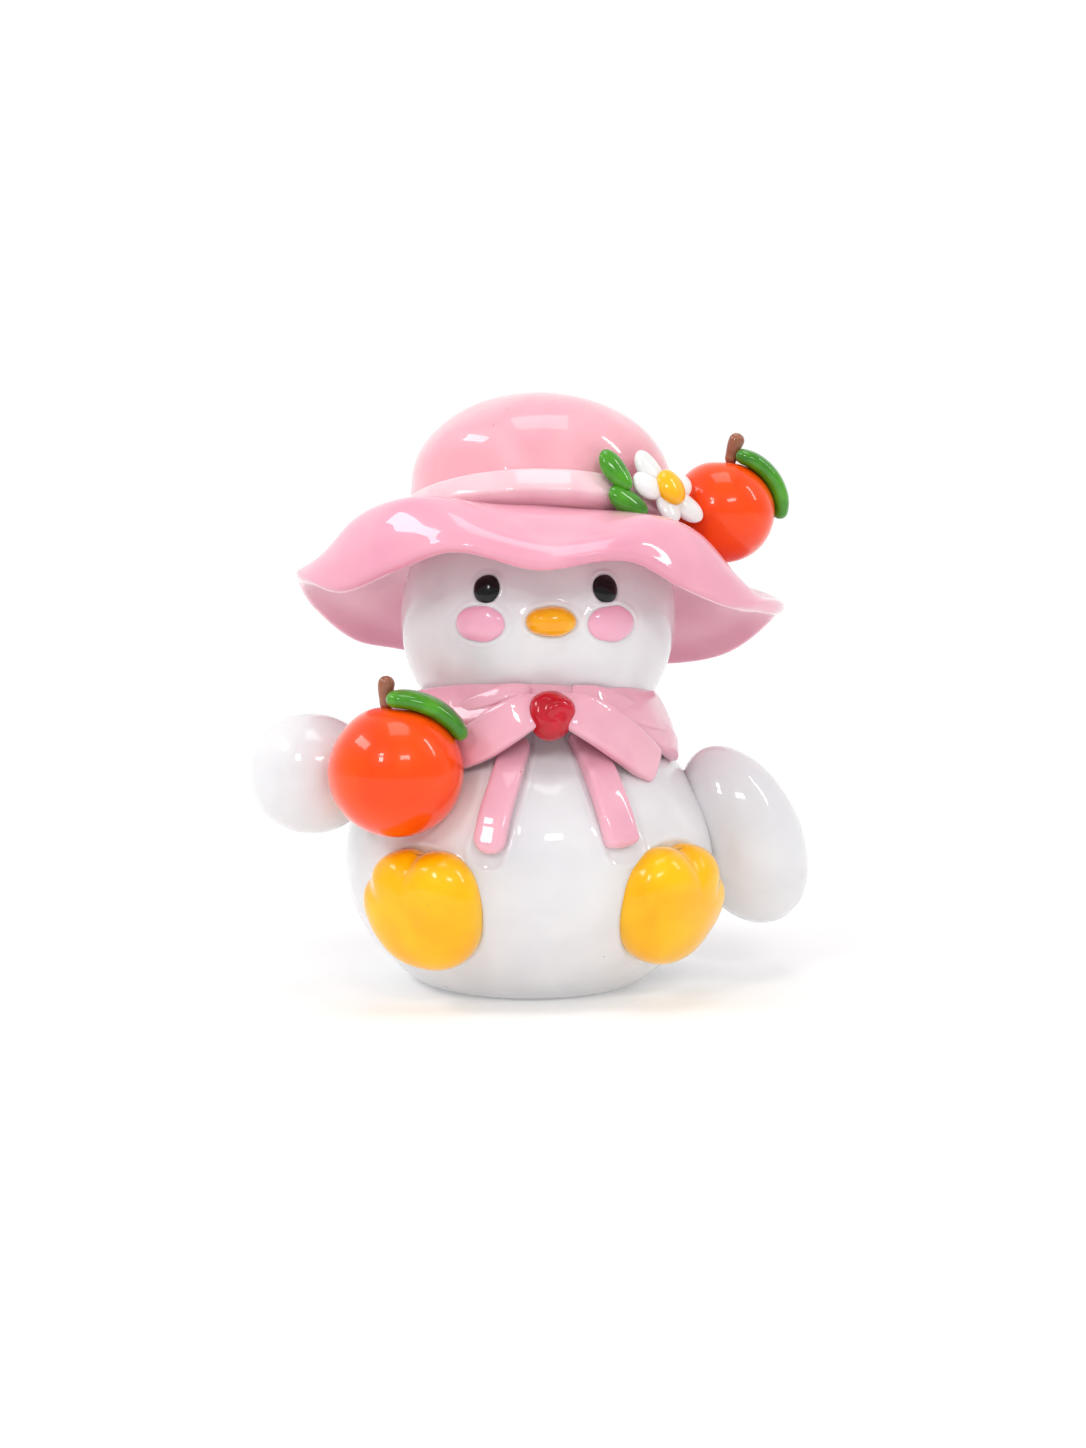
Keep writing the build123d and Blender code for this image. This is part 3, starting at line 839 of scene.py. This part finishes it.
def make_fruit(name, centre, radius, stem_lean, leaf_lean):
    """A ball with a dimple under its stem, a stem, and a leaf bent over its shoulder."""
    centre = np.array(centre)

    def shape(directions):
        steep = np.degrees(np.arccos(np.clip(directions[:, 2], -1, 1)))
        size = radius * (1 - 0.018 * np.abs(directions[:, 2]) - 0.05 * bump(steep, 16))
        points = centre + directions * size[:, None]
        return points + directions * uneven(points, "fruit")[:, None]

    def towards_viewer(points):
        return np.tile((0.0, -1.0, 0.0), (len(points), 1))

    def out_of_fruit(points):
        return unit(points - centre)

    keep(sculpt(name + "_ball", 6, shape), ORANGE, "fruit_orange_resin", name)
    stand = shift(*centre) @ turn("Y", stem_lean)
    foot = radius * 0.90
    knots = []
    for sideways, rise, width, thick in STEM:
        where = put(stand, np.array([(sideways, 0, foot + rise)]))[0]
        knots.append((*where, width, thick))
    piece = strap(name + "_stalk", knots, towards_viewer, steps=40, columns=28, squareness=2.0)
    keep(piece, BROWN, "stem_brown_resin", name + "_stem")
    lay = shift(*centre) @ turn("X", LEAF_TIP_FORWARD) @ turn("Y", leaf_lean)
    ride_height = radius + LEAF_STAND_OFF
    half_turn = math.degrees(LEAF_HALF_LENGTH / ride_height)
    knots = []
    for part, width, thick in LEAF:
        a = math.radians(part * half_turn)
        where = put(lay, np.array([(ride_height * math.sin(a), 0, ride_height * math.cos(a))]))[0]
        knots.append((*where, width, thick))
    piece = strap(name + "_leafblade", knots, out_of_fruit, steps=70, columns=36, squareness=2.3,
                  end_round=0.55)
    keep(piece, GREEN, "leaf_green_resin", name + "_leaf")


# --- flower and leaves on the hat ---
# degrees from straight up in the flower's own plane, and how far out the petal's tip is
PETALS = [(-42, 9.4), (66, 7.4), (118, 9.6), (178, 7.0), (-88, 8.6)]
FLOWER_BEARING = 43.2
FLOWER_DISTANCE = 31.0
FLOWER_HEIGHT = 7.0
FLOWER_TILT = -12
PETAL_HALF_SIZES = (2.75, 1.5, 4.5)
FLOWER_EYE_HALF_SIZES = (3.2, 2.0, 3.7)
# bearing, height up the band, swing from upright, half width
HAT_LEAVES = {
    "hat_leaf_upper": (20.6, 8.6, -37, 2.5),
    "hat_leaf_lower": (26.2, 2.8, -72, 2.7),
}
HAT_LEAF_DISTANCE = 29.7
HAT_LEAF_TILT = -10
HAT_LEAF_HALF_THICKNESS = 1.8
HAT_LEAF_HALF_LENGTH = 4.6


def teardrop(name, place, half_sizes, waist, cup):
    """A petal or leaf: an egg that narrows to its foot by waist and cups outwards by cup."""
    def shape(directions):
        local = directions * np.array(half_sizes)
        up = local[:, 2] / half_sizes[2]
        local[:, 0] *= 1 + waist * up
        local[:, 1] -= cup * up**2
        return put(place, local)

    return sculpt(name, 5, shape)


def make_flower():
    """Five loose petals round a domed yellow eye."""
    place = on_hat(FLOWER_BEARING, FLOWER_DISTANCE, FLOWER_HEIGHT, FLOWER_TILT) @ turn("Z", FLOWER_TILT)
    for index, (bearing, tip) in enumerate(PETALS):
        swing = turn("Y", bearing) @ shift(0, 0, tip - PETAL_HALF_SIZES[2])
        piece = teardrop(f"flower_petal_{index + 1}", place @ swing, PETAL_HALF_SIZES, waist=0.14, cup=0.5)
        keep(piece, PETAL_WHITE, "white_resin", f"petal_{index + 1}")
    raised = place @ shift(0, -1.5, 0) @ turn("Y", -25)
    piece = teardrop("flower_eye", raised, FLOWER_EYE_HALF_SIZES, waist=-0.06, cup=0.2)
    keep(piece, FLOWER_YELLOW, "flower_yellow_resin", "flower_centre")


def make_hat_leaves():
    for name, (bearing, height, swing, half_width) in HAT_LEAVES.items():
        place = on_hat(bearing, HAT_LEAF_DISTANCE, height, HAT_LEAF_TILT) @ turn("Y", swing)
        half_sizes = (half_width, HAT_LEAF_HALF_THICKNESS, HAT_LEAF_HALF_LENGTH)
        piece = teardrop(name + "_blade", place, half_sizes, waist=0.10, cup=0.4)
        keep(piece, GREEN, "leaf_green_resin", name)


# --- scarf ---
COLLAR_RISE = 11.0
SCARF_CENTRE = np.array((0.0, 0.0, 44.0))
# a strap's middle line and size from the bow outwards: x, y, z, width, thickness
BOW_STRAPS = {
    "bow_left": [
        (-0.5, -28.0, 57.2, 5.6, 2.8), (-4.2, -28.9, 56.6, 7.2, 3.0), (-8.6, -28.0, 54.2, 8.2, 3.0),
        (-13.0, -25.8, 51.0, 8.0, 3.0), (-18.0, -22.0, 48.6, 7.6, 2.8), (-21.6, -17.6, 47.8, 6.6, 2.6),
    ],
    "bow_left_behind": [
        (-3.0, -26.2, 60.2, 2.8, 2.0), (-6.6, -26.2, 60.2, 3.4, 2.4), (-10.8, -24.6, 58.8, 3.6, 2.6),
        (-15.6, -21.8, 56.4, 3.4, 2.4), (-20.6, -17.0, 52.8, 3.0, 2.2),
    ],
    "bow_right": [
        (1.5, -28.0, 57.2, 5.6, 2.8), (5.0, -29.0, 56.6, 7.6, 3.0), (9.4, -28.5, 54.6, 8.8, 3.0),
        (14.2, -26.4, 51.2, 8.8, 3.0), (18.8, -23.2, 47.4, 8.2, 3.0), (22.0, -20.2, 44.8, 7.2, 2.8),
    ],
    "bow_right_behind": [
        (4.4, -26.2, 59.6, 4.0, 2.0), (9.0, -25.6, 58.8, 5.2, 2.4), (14.6, -22.9, 56.4, 6.2, 2.8),
        (21.1, -18.0, 52.4, 6.4, 2.8), (26.0, -11.8, 48.6, 6.0, 2.8), (27.8, -7.8, 46.8, 5.4, 2.6),
    ],
}
TAIL_THICKNESS = 3.4
TAIL_END_ROUND = {"left": 0.5, "right": 0.2}
ROSE_CENTRE = np.array((0.5, -29.2, 56.1))
ROSE_HALF_SIZES = np.array((4.55, 3.6, 4.75))


def outward_from_neck(points):
    return unit(points - SCARF_CENTRE)


def make_collar():
    """The scarf round the neck, higher and shorter towards the front."""
    outline = [
        (21.6, 0.9), (22.9, 2.0), (24.5, 1.9), (26.1, 0.2), (27.5, -2.8), (28.6, -6.2), (28.9, -8.2),
        (28.0, -9.0), (25.5, -7.4), (21.0, -2.6),
    ]
    rings = lathe(closed_outline(outline, 56), 280)
    flat = rings.reshape(-1, 3)
    flat = flat + unit(flat * (1, 1, 0)) * uneven(flat, "collar")[:, None]
    front = np.clip(-flat[:, 1] / 28, 0, 1) ** 2
    flat[:, 2] += 3.2 * front * np.clip(-flat[:, 2] / 8, 0, 1)
    place = shift(0, 0, BODY_CENTRE_Z + BODY_HALF_HEIGHT) @ turn("X", -COLLAR_RISE)
    rings = put(place, flat).reshape(rings.shape)
    keep(torus_object("collar", rings), SCARF_PINK, "scarf_pink_resin", "scarf_collar")


def make_bow():
    """Two straps each side of the rose, the upper ones tucked behind."""
    for name, knots in BOW_STRAPS.items():
        piece = strap(name, knots, outward_from_neck, steps=90, columns=48, squareness=4.0, end_round=0.2)
        keep(piece, SCARF_PINK, "scarf_pink_resin", "bow_loop_" + name.split("_")[1])


def make_tails():
    """The scarf's two ends, lying on the body and widening a little on the way down."""
    for side, line in TAILS.items():
        knots = []
        for step, (x, z) in enumerate(line):
            stand_off = 1.0 if step else 1.6
            width = TAIL_WIDTHS[side] + 0.15 * step
            knots.append((x, body_surface_y(x, z) - stand_off, z, width, TAIL_THICKNESS))
        piece = strap(f"tail_{side}", knots, body_normals, steps=80, columns=44, squareness=4.5,
                      end_round=TAIL_END_ROUND[side])
        keep(piece, SCARF_PINK, "scarf_pink_resin", f"bow_tail_{side}")


def make_rose():
    """A bead with three soft folds winding into a dimple at its front."""
    def shape(directions):
        local = directions * ROSE_HALF_SIZES
        spin = np.arctan2(local[:, 2], local[:, 0])
        reach = np.hypot(local[:, 0], local[:, 2])
        fold = 0.2 * np.sin(3 * spin + 1.3 * reach + 1.0) * np.clip(reach / 2.2, 0, 1)
        dimple = -0.35 * bump(reach - 0.2, 0.9)
        front = directions[:, 1] < 0.2
        return ROSE_CENTRE + local + directions * ((fold + dimple) * front)[:, None]

    keep(sculpt("rose", 6, shape), RED, "red_resin", "rose_bead")


# --- hands and feet ---
def make_ball_hand():
    centre = np.array(BALL_CENTRE)

    def shape(directions):
        points = centre + directions * BALL_RADIUS * np.array(BALL_SQUASH)
        return points + directions * uneven(points, "ball_hand")[:, None]

    keep(sculpt("ball_hand", 6, shape), WHITE, "milk_white_resin", "hand_left")


def make_egg_hand():
    """A leaning egg, a little slimmer towards its top."""
    place = shift(*EGG_CENTRE) @ turn("Y", EGG_LEAN)

    def shape(directions):
        local = directions * np.array(EGG_SIZE)
        local[:, :2] *= 1 - EGG_TAPER * local[:, 2:] / EGG_SIZE[2]
        points = put(place, local)
        return points + directions * uneven(points, "egg_hand")[:, None]

    keep(sculpt("egg_hand", 6, shape), WHITE, "milk_white_resin", "hand_right")


def make_foot(name, side, outline):
    """A plump pad with an outline read by the degree, and grooves between its toes."""
    place = foot_place(side)

    def shape(directions):
        local = squared_ball(directions, FOOT_SQUARENESS)
        away = np.degrees(np.arctan2(side * local[:, 0], local[:, 2]))
        out = np.hypot(local[:, 0], local[:, 2])
        reach = np.interp(away, np.arange(-180, 181), outline)
        local[:, 0] *= reach
        local[:, 1] *= FOOT_SIZE[1]
        local[:, 2] *= reach
        for groove in TOE_GROOVES:
            beside = np.radians(away - groove) * out * reach
            fade = np.clip((out - 0.45) / 0.5, 0, 1) ** 1.5
            local[:, 1] += GROOVE_DEPTH * bump(beside, GROOVE_HALF_WIDTH) * fade * (local[:, 1] < 0)
        points = put(place, local)
        return points + directions * uneven(points, "foot")[:, None]

    keep(sculpt(name + "_pad", 6, shape), YELLOW, "yellow_resin", name)


def make_feet():
    outline = [around(FOOT_OUTLINE, degree, 1) for degree in range(-180, 181)]
    for side, name in ((-1, "foot_left"), (1, "foot_right")):
        make_foot(name, side, outline)


def dress_cad_nodes():
    """The stopper and the hidden dowel keep their CAD shape."""
    for node, material in (("stopper", RUBBER), ("neck_dowel", WOOD)):
        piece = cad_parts[node]
        piece.data.materials.clear()
        piece.data.materials.append(material)


make_camera()
make_studio()
make_floor()
make_head()
make_body()
make_face()
make_brim()
make_crown()
make_band()
for fruit, facts in FRUITS.items():
    make_fruit(fruit, *facts)
make_flower()
make_hat_leaves()
make_collar()
make_bow()
make_tails()
make_rose()
make_ball_hand()
make_egg_hand()
make_feet()
dress_cad_nodes()
bpy.context.scene.view_settings.view_transform = "Standard"
